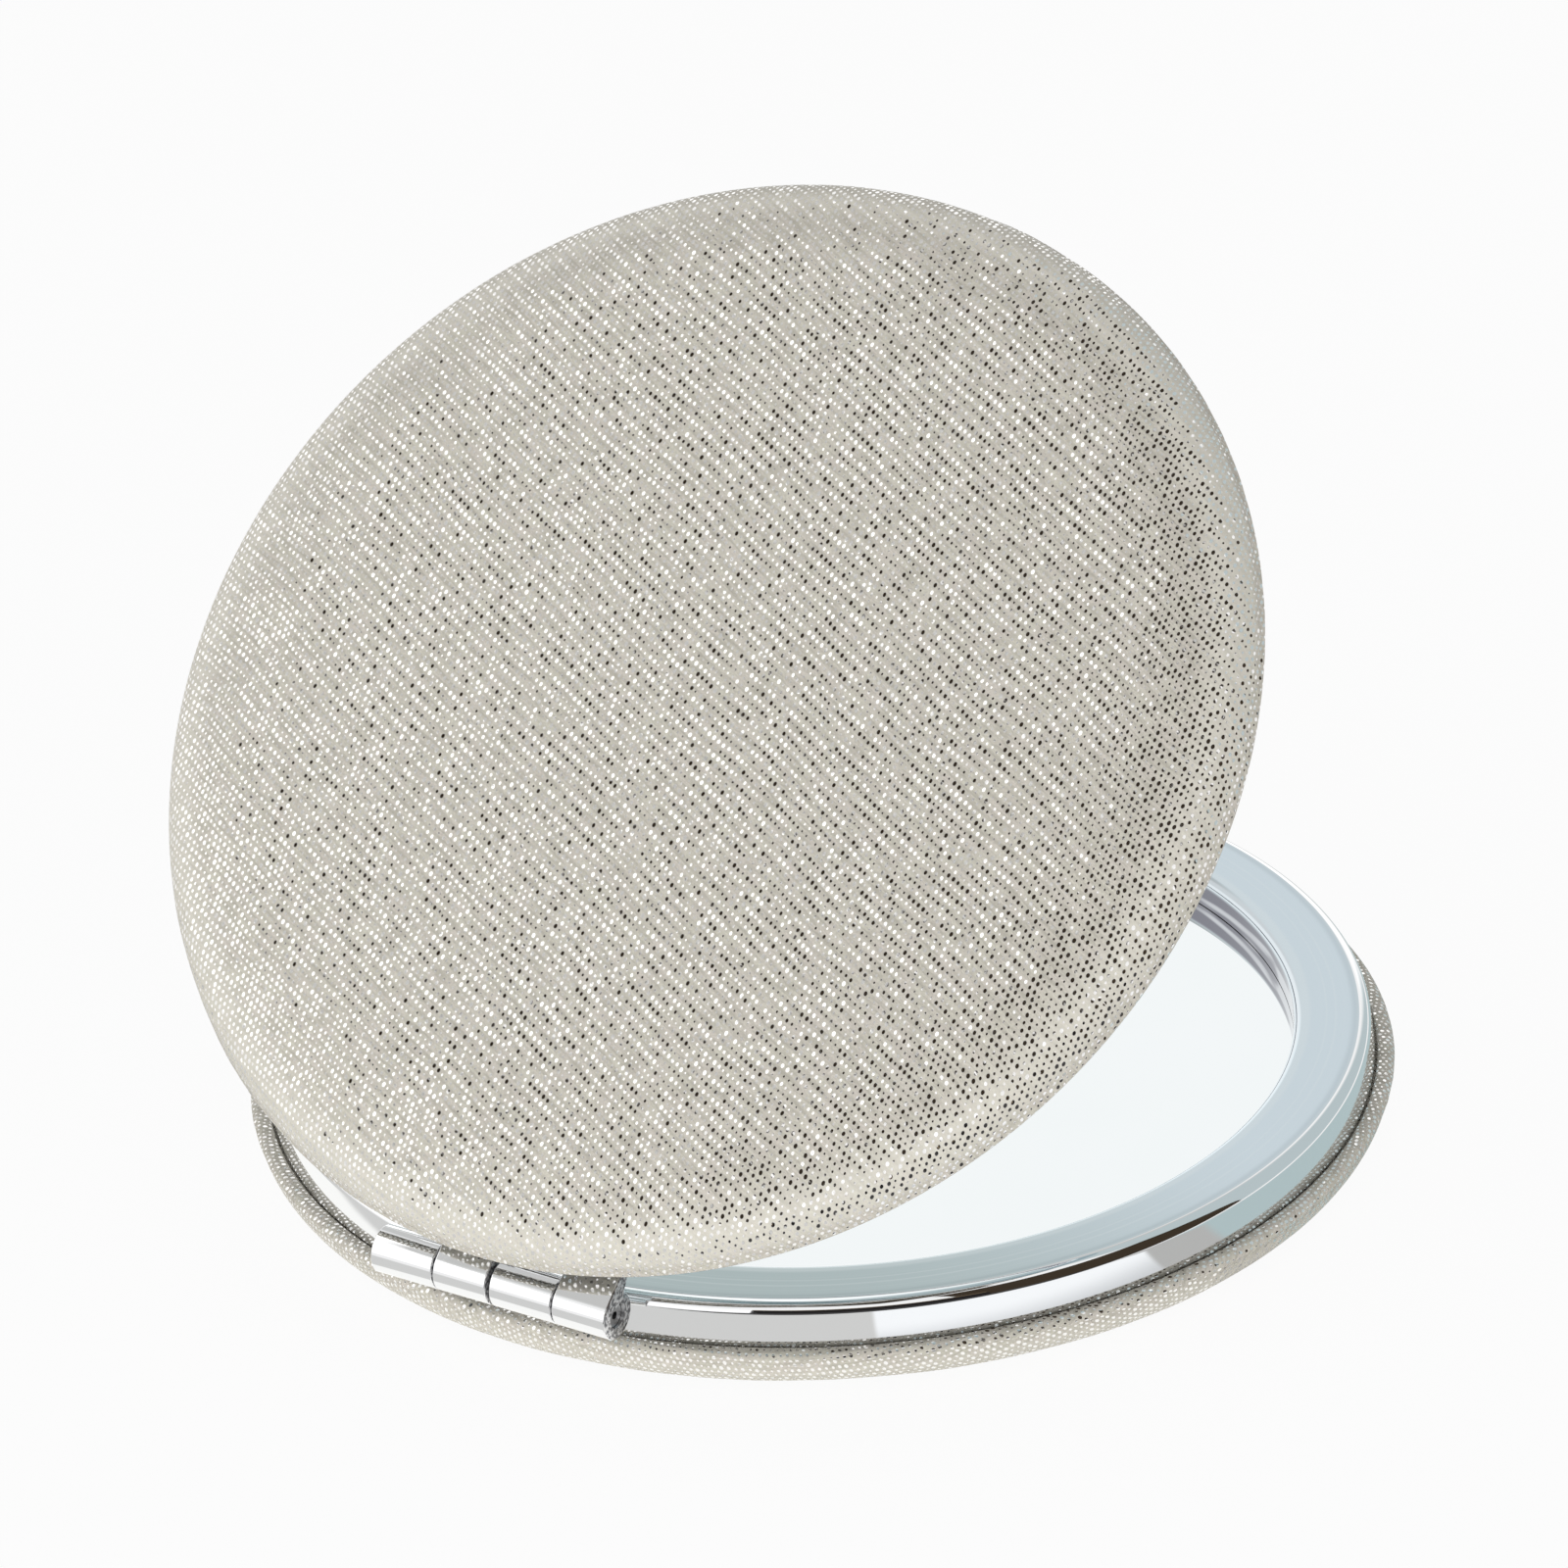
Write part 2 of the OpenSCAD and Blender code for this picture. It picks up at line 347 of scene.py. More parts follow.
def foil_tilt(tree, flat, centre, relief):
    """Lean of the foil: the relief's, each dot's own, and fine crumples."""
    draw = vec(tree, "ADD", centre, SECOND_DRAW)
    other = put(tree, "ShaderNodeTexWhiteNoise", {"Vector": draw}, noise_dimensions="3D").outputs[1]
    own = spread(tree, other, DOT_TILT)
    crumple = spread(tree, noise(tree, flat, CRUMPLE_SCALE)[1], FOIL_CRUMPLE)
    return vec(tree, "ADD", vec(tree, "ADD", relief, own), crumple)


def coat_normal(tree, flat, relief):
    """Normal of the coat: a part of the relief's lean, and a fine grain."""
    leant = tilted_normal(tree, scaled(tree, relief, COAT_LEAN))
    return bumped(tree, noise(tree, flat, *COAT_GRAIN)[0], *COAT_BUMP, leant)


def coat_colour(tree, flat, cut):
    """Pale warm coat with darker streaks and fibres, paler round the padded edge, where it is pulled tight
    and where painted light stands in for the light that the edge catches.
    """
    streak = noise(tree, vec(tree, "MULTIPLY", flat, STREAK_STRETCH), *STREAK_NOISE)[0]
    cloud = noise(tree, flat, *CLOUD_NOISE)[0]
    warm = mixed_colour(tree, ramp(tree, cloud, *CLOUD_RAMP), WARM_FIRST, WARM_SECOND)
    coat = mixed_colour(tree, ramp(tree, streak, *STREAK_RAMP), STREAK, warm)
    fibre = noise(tree, vec(tree, "MULTIPLY", flat, FIBRE_STRETCH), *FIBRE_NOISE)[0]
    coat = mixed_colour(tree, ramp(tree, fibre, *FIBRE_RAMP), coat, FIBRE)
    away = vec(tree, "LENGTH", cut)
    # Partly painted light: the coat is paler round the padded edge
    taut_and_lit = calc(tree, "MULTIPLY", ramp(tree, away, *TAUT_AND_LIT_FROM), ramp(tree, away, *TAUT_AND_LIT_TO, 1.0, 0.0))
    return mixed_colour(tree, calc(tree, "MULTIPLY", taut_and_lit, TAUT_AND_LIT_SHARE), coat, TAUT_AND_LIT)


def leather_material():
    """Pale matte leather with foil dots that catch the light one by one."""
    material, tree = new_material("leather_foil_dots")
    cut = scaled(tree, put(tree, "ShaderNodeUVMap", uv_map="leather").outputs[0], 1 / MM)
    flat = vec(tree, "ADD", cut, spread(tree, noise(tree, cut, *STRETCH_NOISE)[1], STRETCH))
    centre = dot_lattice(tree, flat)
    dot = foil_dots(tree, flat, centre)
    relief = relief_tilt(tree, flat)
    foil_normal = tilted_normal(tree, foil_tilt(tree, flat, centre, relief))
    surface(tree, {
        "Base Color": mixed_colour(tree, dot, coat_colour(tree, flat, cut), FOIL),
        "Metallic": dot,
        "Roughness": mixed(tree, dot, COAT_ROUGH, FOIL_ROUGH),
        "Normal": mixed_vector(tree, dot, coat_normal(tree, flat, relief), foil_normal),
        "Specular IOR Level": COAT_SHINE,
    })
    return material


# Metals, glass and the hidden layers

# Flat of the rim: a darker, cooler copy of the chrome, which is a painted reflection, with its colours on the
# far and the near side of the base, between these places along Y; the near side's darker colour is painted
# shade
RIM_FAR_SHADED_COPY = (0.555, 0.64, 0.69, 1.0)
RIM_NEAR_SHADED_COPY = (0.385, 0.46, 0.465, 1.0)
RIM_SHADE_Y = (0.0, 30.0)
# Turned bands of the rim: scale and bump. Then colours, radii and shares: of the light bands together with a
# painted highlight along the flat's inner edge, and of painted shade near its outer edge
BAND_SCALE = 1.6
BAND_BUMP = (0.04, 0.00004)
BAND_RAMP = (0.5, 0.62)
LIGHT_BAND_AND_HIGHLIGHT = (0.66, 0.72, 0.73, 1.0)
OUTER_SHADE = (0.10, 0.14, 0.16, 1.0)
INNER_HIGHLIGHT_R = (29.7, 30.0)
OUTER_SHADE_R = (32.2, 32.6)
LIGHT_BAND_AND_HIGHLIGHT_SHARE = 0.3
OUTER_SHADE_SHARE = 0.16
# Where the flat of the rim ends, downwards and outwards
FLAT_DEPTH = (0.02, 0.10)
FLAT_EDGE = 0.06
# Chrome of the wall and the rest, the lighter of two copies of the chrome, painted light; the lip, a darker
# copy, which is painted shade; and the wall inside the opening, a painted reflection, dark with lighter
# curved streaks, with the depths between which it starts
CHROME_LIT_COPY = (0.88, 0.885, 0.89, 1.0)
LIP_SHADED_COPY = (0.58, 0.63, 0.66, 1.0)
LIP_SHADE_EDGE = 0.3
THROAT_PAINTED_SHADE = (0.24, 0.235, 0.27, 1.0)
THROAT_PAINTED_REFLECTION = (0.64, 0.64, 0.67, 1.0)
THROAT_WIDTH = (0.1, 0.3)
THROAT_DEPTH = (0.55, 0.85)
SWOOP_STRETCH = (0.11, 0.11, 0.8)
SWOOP_NOISE = (1.0, 1.0)
SWOOP_RAMP = (0.49, 0.56)
# Haze on the chrome, as the noise and the range of its roughness
HAZE_NOISE = (0.6, 4.0)
HAZE_RAMP = (0.3, 0.7, 0.03, 0.06)
# Ends of the knuckles
CUT_NOISE = (4.5, 4.0)
CUT_BUMP = (1.0, 0.00008)
CUT_RAMP = (0.4, 0.6)
CUT_DARK = (0.22, 0.22, 0.23, 1.0)
CUT_LIGHT = (0.85, 0.85, 0.86, 1.0)
CUT_ROUGH = 0.42
# Silvered glass
SMEAR_NOISE = (0.15, 5.0)
SMEAR_RAMP = (0.4, 0.8, 0.004, 0.02)
GLASS_CLEAR = (0.90, 0.93, 0.94, 1.0)
GLASS_SMEARED = (0.88, 0.92, 0.925, 1.0)
# Hidden layers: colour, darker colour, metallic, roughness, scale of the grain and its depth in millimetres
HIDDEN = {
    "foam_sheet": ((0.86, 0.81, 0.66), (0.70, 0.65, 0.50), 0.0, 0.95, 5.0, 0.1),
    "tape_foam": ((0.05, 0.05, 0.055), (0.02, 0.02, 0.022), 0.0, 0.8, 8.0, 0.03),
    "plate_board": ((0.66, 0.66, 0.63), (0.56, 0.56, 0.53), 0.0, 0.6, 3.0, 0.02),
    "magnet_nickel": ((0.55, 0.55, 0.57), (0.42, 0.42, 0.44), 1.0, 0.25, 4.0, 0.01),
    "pin_rolled_steel": ((0.48, 0.48, 0.49), (0.30, 0.30, 0.31), 1.0, 0.4, 9.0, 0.02),
}


def unopened(tree, place, opened):
    """The place on the shut lid for a point on the open one."""
    if not opened:
        return place
    values = {"Vector": place, "Center": HINGE, "Axis": (1.0, 0.0, 0.0), "Angle": math.radians(OPEN_ANGLE)}
    return put(tree, "ShaderNodeVectorRotate", values, rotation_type="AXIS_ANGLE").outputs[0]


def rim_colour(tree, away, along, bands):
    """The flat of the rim: painted shade that darkens it towards the hinge, light turned bands, a painted
    highlight along its inner edge and painted shade near its outer edge.
    """
    # Painted shade: the flat is darker towards the hinge
    shaded_rim = mixed_colour(tree, ramp(tree, along, *RIM_SHADE_Y), RIM_FAR_SHADED_COPY, RIM_NEAR_SHADED_COPY)
    # Painted highlight along the flat's inner edge, joined to the light turned bands
    inner_highlight = ramp(tree, away, *INNER_HIGHLIGHT_R, 1.0, 0.0)
    light = calc(tree, "MAXIMUM", inner_highlight, ramp(tree, bands, *BAND_RAMP))
    ringed = mixed_colour(tree, calc(tree, "MULTIPLY", light, LIGHT_BAND_AND_HIGHLIGHT_SHARE), shaded_rim, LIGHT_BAND_AND_HIGHLIGHT)
    # Painted shade near the flat's outer edge
    dark = ramp(tree, away, *OUTER_SHADE_R)
    return mixed_colour(tree, calc(tree, "MULTIPLY", dark, OUTER_SHADE_SHARE), ringed, OUTER_SHADE)


def frame_painted_colour(tree, place, away, depth):
    """The rest of a frame: bright, with painted shade that makes the lip darker and cooler, and a painted
    reflection inside the opening.
    """
    reflection_swoops = noise(tree, vec(tree, "MULTIPLY", place, SWOOP_STRETCH), *SWOOP_NOISE)[0]
    # Painted reflection inside the opening: dark, with lighter curved streaks
    throat_painted = mixed_colour(tree, ramp(tree, reflection_swoops, *SWOOP_RAMP), THROAT_PAINTED_SHADE, THROAT_PAINTED_REFLECTION)
    first, last = (OPEN_R + width for width in THROAT_WIDTH)
    within = ramp(tree, away, first, last, 1.0, 0.0)
    throat = calc(tree, "MULTIPLY", within, ramp(tree, depth, *THROAT_DEPTH))
    # Painted shade: the lip is a darker, cooler copy of the chrome
    lip_end = OPEN_R + LIP_ROUND
    lip = ramp(tree, away, lip_end, lip_end + LIP_SHADE_EDGE, 1.0, 0.0)
    return mixed_colour(tree, throat, mixed_colour(tree, lip, CHROME_LIT_COPY, LIP_SHADED_COPY), throat_painted)


def rim_share(tree, away, depth):
    """1 on the flat of the rim, 0 elsewhere."""
    first, last = (HINGE.z - RIM_TOP + low for low in FLAT_DEPTH)
    edge = FRAME_R - RIM_ROUND
    return calc(tree, "MULTIPLY", ramp(tree, depth, first, last, 1.0, 0.0),
                ramp(tree, away, edge, edge + FLAT_EDGE, 1.0, 0.0))


def chrome_material(name, opened):
    """Bright chrome. The flat of the rim is a darker, cooler copy of it, a painted reflection, and has faint
    turned bands.
    """
    material, tree = new_material(name)
    place = unopened(tree, place_mm(tree), opened)
    parts = put(tree, "ShaderNodeSeparateXYZ", {0: place})
    depth = calc(tree, "ABSOLUTE", calc(tree, "SUBTRACT", parts.outputs[2], HINGE.z))
    away = vec(tree, "LENGTH", vec(tree, "MULTIPLY", place, (1.0, 1.0, 0.0)))
    bands = noise(tree, put(tree, "ShaderNodeCombineXYZ", {0: away}).outputs[0], BAND_SCALE)[0]
    frame_painted = frame_painted_colour(tree, place, away, depth)
    rim = rim_colour(tree, away, parts.outputs[1], bands)
    surface(tree, {
        "Base Color": mixed_colour(tree, rim_share(tree, away, depth), frame_painted, rim),
        "Metallic": 1.0,
        "Roughness": ramp(tree, noise(tree, place, *HAZE_NOISE)[0], *HAZE_RAMP),
        "Normal": bumped(tree, bands, *BAND_BUMP),
    })
    return material


def cut_material():
    """Sawn and tumbled end faces of the knuckles: rough and grey."""
    material, tree = new_material("knuckle_cut")
    coarse = noise(tree, place_mm(tree), *CUT_NOISE)[0]
    surface(tree, {
        "Base Color": mixed_colour(tree, ramp(tree, coarse, *CUT_RAMP), CUT_DARK, CUT_LIGHT),
        "Metallic": 1.0,
        "Roughness": CUT_ROUGH,
        "Normal": bumped(tree, coarse, *CUT_BUMP),
    })
    return material


def mirror_material():
    """Silvered glass with the faintest smears."""
    material, tree = new_material("mirror_silvered")
    smear = noise(tree, place_mm(tree), *SMEAR_NOISE)[0]
    surface(tree, {
        "Base Color": mixed_colour(tree, smear, GLASS_CLEAR, GLASS_SMEARED),
        "Metallic": 1.0,
        "Roughness": ramp(tree, smear, *SMEAR_RAMP),
    })
    return material


def hidden_material(name):
    """A grained material for a piece that hardly shows."""
    colour, dark, metallic, roughness, scale, depth = HIDDEN[name]
    material, tree = new_material(name)
    grain = noise(tree, place_mm(tree), scale, 4.0)[0]
    surface(tree, {
        "Base Color": mixed_colour(tree, grain, (*dark, 1.0), (*colour, 1.0)),
        "Metallic": metallic,
        "Roughness": ramp(tree, grain, 0.2, 0.8, roughness * 0.85, min(1.0, roughness * 1.15)),
        "Normal": bumped(tree, grain, 0.6, depth * MM),
    })
    return material


# Shapes of the soft pieces

def arc(centre, radius, start, end, steps):
    """Points of an arc in the half section, without its first point. Angles are in degrees."""
    angles = [math.radians(start + (end - start) * i / steps) for i in range(1, steps + 1)]
    return [(centre[0] + radius * math.cos(a), centre[1] + radius * math.sin(a)) for a in angles]


def padded_arcs(depth, steps):
    """The gentle rounding and the padded edge up to its widest point, a depth inside the outer face."""
    meet = math.degrees(math.atan2(EDGE_R - FACE_FLAT_R, FACE_ROUND - BEAD_WIDE_Z))
    first = arc((FACE_FLAT_R, FACE_ROUND), FACE_ROUND - depth, -90.0, meet - 90.0, steps)
    second = arc((EDGE_R, BEAD_WIDE_Z), EDGE_ROUND - depth, meet - 90.0, 0.0, 2 * steps)
    return [(FACE_FLAT_R, depth)] + first + second


def straight(start, end, steps):
    """Points of a straight stretch, without its first point."""
    return [(start[0] + (end[0] - start[0]) * i / steps, start[1] + (end[1] - start[1]) * i / steps)
            for i in range(1, steps + 1)]


def skin_section(steps):
    """Outer face of the leather from the flat's edge round the bead to the turned-in hem's edge."""
    turn_r = WALL_FOOT_R + SEAT_GAP + HEM_TURN
    points = padded_arcs(0.0, steps)
    points += arc((PAD_R - BEAD_ROUND, BEAD_WIDE_Z), BEAD_ROUND, 0.0, 90.0, steps)
    points += straight(points[-1], (turn_r, BEAD_TOP), 2)
    points += arc((turn_r, BEAD_TOP - HEM_TURN), HEM_TURN, 90.0, 180.0, 4)
    points += straight(points[-1], (HEM_IN_R, HEM_TOP), 3)
    return points


def lining_section(steps):
    """Back of the leather from the hem's edge to the flat face."""
    inner = padded_arcs(LEATHER_T, steps)
    hem = [(HEM_IN_R, PLATE_TOP), (FRAME_R, PLATE_TOP), (FRAME_R, LINING_TOP), (inner[-1][0], LINING_TOP)]
    return hem + inner[-2::-1]


def foam_section(steps):
    """Half section of the foam pad: its outer face, then its top."""
    outer = padded_arcs(LEATHER_T + SEAT_GAP, steps)
    edge_in = FRAME_R + SEAT_GAP
    return outer[:-1] + [(outer[-1][0], FOAM_EDGE_TOP), (edge_in, FOAM_EDGE_TOP), (edge_in, FOAM_TOP)]


def grid_on_disc(half, radius):
    """A square grid of points laid on a disc, and the order of its rim's points."""
    side = range(-half, half + 1)
    points = []
    for j in side:
        for i in side:
            reach = max(abs(i), abs(j)) / half * radius
            if i == 0 and j == 0:
                points.append((0.0, 0.0))
                continue
            if abs(i) >= abs(j):
                angle = math.pi / 4 * j / i + (math.pi if i < 0 else 0.0)
            else:
                angle = math.pi / 2 - math.pi / 4 * i / j + (math.pi if j < 0 else 0.0)
            points.append((reach * math.cos(angle), reach * math.sin(angle)))
    wide = 2 * half + 1
    last = wide - 1
    rim = [j * wide + last for j in range(half, last)]
    rim += [last * wide + i for i in range(last, 0, -1)]
    rim += [j * wide for j in range(last, 0, -1)]
    rim += list(range(0, last))
    rim += [j * wide + last for j in range(0, half)]
    cells = [(j * wide + i, j * wide + i + 1, (j + 1) * wide + i + 1, (j + 1) * wide + i)
             for j in range(last) for i in range(last)]
    return points, rim, cells


def turned_shell(section, half, core_r, closed):
    """A face grid with rings round it along a section. closed adds the face that ends the section."""
    disc, rim, cells = grid_on_disc(half, core_r)
    low = section[0][1]
    points = [(x, y, low) for x, y in disc]
    faces = [tuple(reversed(c)) for c in cells]
    reach = [math.hypot(x, y) for x, y in disc]
    angles = [math.atan2(disc[k][1], disc[k][0]) for k in rim]
    reach_now, before = core_r, rim
    last = (core_r, low)
    for r, z in section:
        reach_now += math.hypot(r - last[0], z - last[1])
        start = len(points)
        points += [(r * math.cos(a), r * math.sin(a), z) for a in angles]
        reach += [reach_now] * len(angles)
        ring = list(range(start, start + len(angles)))
        faces += ring_faces(before, ring)
        before, last = ring, (r, z)
    if closed:
        start = len(points)
        share = last[0] / core_r
        points += [(x * share, y * share, last[1]) for x, y in disc]
        reach += [reach_now] * len(disc)
        faces += [tuple(start + k for k in c) for c in cells]
        merge = dict(zip([start + k for k in rim], before))
        faces = [tuple(merge.get(k, k) for k in f) for f in faces]
    return np.array(points), faces, np.array(reach)


def ring_faces(inner, outer):
    """Quads between two rings of points."""
    count = len(inner)
    return [(inner[(k + 1) % count], outer[(k + 1) % count], outer[k], inner[k]) for k in range(count)]


def on_lid(points):
    """Carries points from the base's place to the lid's, where the two halves are mirror images."""
    angle = -math.radians(OPEN_ANGLE)
    y = points[:, 1] - HINGE.y
    z = -(points[:, 2] - HINGE.z)
    turned_y = y * math.cos(angle) - z * math.sin(angle)
    turned_z = y * math.sin(angle) + z * math.cos(angle)
    return np.stack([points[:, 0], HINGE.y + turned_y, HINGE.z + turned_z], -1)


def make_mesh(name, points, faces, on_the_lid):
    """An object from points in millimetres, carried to the lid if asked."""
    if on_the_lid:
        points = on_lid(points)
        faces = [f[::-1] for f in faces]
    mesh = bpy.data.meshes.new(name)
    used = sorted({k for f in faces for k in f})
    order = {k: n for n, k in enumerate(used)}
    mesh.from_pydata([tuple(points[k] * MM) for k in used], [], [tuple(order[k] for k in f) for f in faces])
    mesh.shade_smooth()
    piece = bpy.data.objects.new(name, mesh)
    bpy.context.scene.collection.objects.link(piece)
    return piece, used


def add_leather_map(piece, used, points, reach, side):
    """The leather's flat coordinates in metres: how far from the middle, along the skin, and which way."""
    layer = piece.data.uv_layers.new(name="leather")
    flat = points[used][:, :2]
    length = np.maximum(np.hypot(flat[:, 0], flat[:, 1]), TINY)
    scale = reach[used] / length
    plan = flat * scale[:, None] * MM * np.array(side)
    turn = math.radians(GRAIN_ANGLE)
    along = plan[:, 0] * math.cos(turn) + plan[:, 1] * math.sin(turn)
    across = plan[:, 1] * math.cos(turn) - plan[:, 0] * math.sin(turn)
    uv = np.stack([along, across], -1)
    corners = np.zeros(len(piece.data.loops), int)
    piece.data.loops.foreach_get("vertex_index", corners)
    layer.uv.foreach_set("vector", uv[corners].astype(np.float32).ravel())


# Chrome frames

# Points that keep the shading crisp: how close to a stretch's ends they lie, and from what length on
HOLD = 0.015
LONG_SPAN = 0.2
# Knuckle: reach and underside of the beak, where the barrel leaves it in degrees, and steps round the barrel
BEAK_REACH = -3.0
BEAK_LOW = -1.0
BEAK_ROOT = 195.0
BARREL_STEPS = 72
# Easing of a knuckle's edges, the points that hold it, and the rows of faces that are its sawn ends
EASE = 0.05
EASE_HOLD = 0.03
END_ROWS = (4, 6)


def held(points):
    """Adds points close to the ends of long straight stretches, so that the shading stays crisp there."""
    result = []
    for n, (r, z) in enumerate(points):
        before = points[n - 1]
        span = math.hypot(r - before[0], z - before[1])
        if span > LONG_SPAN:
            dr, dz = (r - before[0]) / span * HOLD, (z - before[1]) / span * HOLD
            result += [(before[0] + dr, before[1] + dz), (r - dr, z - dz)]
        result.append((r, z))
    return result


def ring_section():
    """Closed half section of a frame's ring: outer wall, rim and lip."""
    low = RIM_TOP - RIM_ROUND
    lean = math.atan2(WALL_FOOT_R - WALL_TOP_R, low - WALL_FOOT_Z)
    middle = (WALL_TOP_R - RIM_ROUND * math.cos(lean), low)
    points = [(WALL_IN_R, HEM_TOP), (FRAME_R, HEM_TOP), (WALL_FOOT_R, WALL_FOOT_Z)]
    points += [(WALL_TOP_R, low + RIM_ROUND * math.sin(lean))]
    points += arc(middle, RIM_ROUND, math.degrees(lean), 90.0, RIM_STEPS)
    points += [(OPEN_R + LIP_ROUND, RIM_TOP)]
    points += arc((OPEN_R + LIP_ROUND, RIM_TOP - LIP_ROUND), LIP_ROUND, 90.0, 180.0, RIM_STEPS)
    points += [(OPEN_R, LIP_LOW), (LIP_OUT_R, LIP_LOW), (LIP_OUT_R, RIM_LOW), (WALL_IN_R, RIM_LOW)]
    return held(points)


def turned_ring(section, count):
    """Points and faces of a closed section turned round the upright axis."""
    angles = [2 * math.pi * k / count for k in range(count)]
    points = [(r * math.cos(a), r * math.sin(a), z) for r, z in section for a in angles]
    faces = []
    for n in range(len(section)):
        inner = [n * count + k for k in range(count)]
        outer = [(n + 1) % len(section) * count + k for k in range(count)]
        faces += [f[::-1] for f in ring_faces(inner, outer)]
    return points, faces


def knuckle_outline():
    """End view of a knuckle about its own axis: the barrel, drawn out to a beak that roots in the wall."""
    start = math.degrees(math.atan2(-BARREL_R, 0.0))
    points = [(BEAK_REACH, -BARREL_R), (BEAK_REACH, BEAK_LOW)]
    for k in range(BARREL_STEPS + 1):
        angle = math.radians(BEAK_ROOT - (BEAK_ROOT - start) * k / BARREL_STEPS)
        points.append((BARREL_R * math.cos(angle), BARREL_R * math.sin(angle)))
    return points


def knuckle_shell(start, length):
    """Points, faces and sawn faces of one knuckle, from its end towards -X, with an open bore."""
    outline = knuckle_outline()
    shrunk = [(y * (1 - EASE / BARREL_R), z * (1 - EASE / BARREL_R)) for y, z in outline]
    bore = []
    for y, z in outline:
        size = math.hypot(y, z)
        bore.append((y / size * BORE_R, z / size * BORE_R))
    end = start - length
    rows = [(start - EASE, outline), (start - EASE - EASE_HOLD, outline), (end + EASE + EASE_HOLD, outline),
            (end + EASE, outline), (end, shrunk), (end, bore), (start, bore), (start, shrunk)]
    count = len(outline)
    points = [(x, HINGE.y + y, HINGE.z + z) for x, row in rows for y, z in row]
    faces, cut = [], []
    for n in range(len(rows)):
        inner = [n * count + k for k in range(count)]
        outer = [(n + 1) % len(rows) * count + k for k in range(count)]
        faces += ring_faces(inner, outer)
        cut += [n in END_ROWS] * count
    return points, faces, cut


def chrome_frame(half, chrome, cut_metal):
    """One half's cast frame: the turned ring and its two knuckles."""
    points, faces = turned_ring(ring_section(), RING_POINTS)
    cut = [False] * len(faces)
    for start, length in KNUCKLES[half]:
        more, more_faces, more_cut = knuckle_shell(start, length)
        first = len(points)
        points += more
        faces += [tuple(first + k for k in f) for f in more_faces]
        cut += more_cut
    piece, _ = make_mesh(half + "_chrome_frame", np.array(points), faces, half == "lid")
    piece.data.set_sharp_from_angle(angle=math.radians(SHARP_ANGLE))
    piece.data.materials.append(chrome)
    piece.data.materials.append(cut_metal)
    for polygon, is_cut in zip(piece.data.polygons, cut):
        polygon.material_index = int(is_cut)
    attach(piece, half)
    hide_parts(half + "_frame")


# Padding

def crown(points):
    """Where the padding swells without a simulation: a low dome over the face and the gentle rounding."""
    away = np.hypot(points[:, 0], points[:, 1]) / (EDGE_R + EDGE_ROUND)
    rise = np.clip(1 - away ** 2, 0, 1) * PUFF_MOST
    return np.stack([np.zeros_like(rise), np.zeros_like(rise), -rise], -1)


def simulated_swell():
    """Inflates the outer skin on a coarse, enlarged copy and returns its points and their movements."""
    points, faces, _ = turned_shell(skin_section(COARSE_STEPS), COARSE_GRID, CORE_R, False)
    piece, used = make_mesh("swell_trial", points * SIM_SCALE, faces, False)
    group = piece.vertex_groups.new(name="held")
    places = points[used]
    fixed = [n for n, p in enumerate(places) if p[2] > BEAD_WIDE_Z + HELD_ABOVE]
    group.add(fixed, 1.0, "REPLACE")
    cloth = piece.modifiers.new("swell", "CLOTH")
    set_cloth(cloth.settings)
    cloth.point_cache.frame_start = 1
    cloth.point_cache.frame_end = SIM_FRAMES
    for number in range(1, SIM_FRAMES + 1):
        bpy.context.scene.frame_set(number)
    shown = piece.evaluated_get(bpy.context.evaluated_depsgraph_get())
    after = np.array([v.co for v in shown.data.vertices]) / MM / SIM_SCALE
    bpy.context.scene.frame_set(1)
    bpy.data.objects.remove(piece)
    return places, after - places


def set_cloth(settings):
    """Thin leather, held at the hem and pushed out by the foam."""
    settings.quality = 6
    settings.mass = 0.4
    settings.tension_stiffness = 40
    settings.compression_stiffness = 40
    settings.shear_stiffness = 20
    settings.bending_stiffness = 4
    settings.vertex_group_mass = "held"
    settings.use_pressure = True
    settings.uniform_pressure_force = SIM_PRESSURE
    settings.effector_weights.gravity = 0


def swell_of(points, trial):
    """Movement of each point: the simulated one, evened out between the trial's points, or a plain dome."""
    if trial is None:
        return crown(points)
    places, moves = trial
    tree = kdtree.KDTree(len(places))
    for n, p in enumerate(places):
        tree.insert(p, n)
    tree.balance()
    result = np.zeros_like(points)
    for n, p in enumerate(points):
        near = tree.find_n(p, NEIGHBOURS)
        weights = np.array([1 / (d + EVEN_OUT) ** 2 for _, _, d in near])
        result[n] = (moves[[k for _, k, _ in near]] * weights[:, None]).sum(0) / weights.sum()
    return result


def uneven(points):
    """Slight unevenness of hand-laid padding, from a few fixed waves, gone before the edge."""
    total = sum(np.sin(a * points[:, 0] + b * points[:, 1] + c) for a, b, c in UNEVEN_WAVES)
    away = np.hypot(points[:, 0], points[:, 1]) / PAD_R
    return total * UNEVEN * np.clip(1.6 - 1.5 * away, 0, 1)


def swollen(points, trial, rests):
    """The skin with its padding swollen, within the cap, and flat where it rests."""
    moves = swell_of(points, trial)
    moves[:, 2] -= uneven(points)
    size = np.linalg.norm(moves, axis=1)
    moves *= np.minimum(1.0, PUFF_MOST / np.maximum(size, TINY))[:, None]
    fade = np.clip((BEAD_WIDE_Z + FADE - points[:, 2]) / FADE, 0, 1)
    result = points + moves * fade[:, None]
    if rests:
        result[:, 2] = np.maximum(result[:, 2], np.minimum(points[:, 2], 0.0))
    away = np.hypot(result[:, 0], result[:, 1])
    result[:, :2] *= np.minimum(1.0, PAD_R / np.maximum(away, TINY))[:, None]
    return result


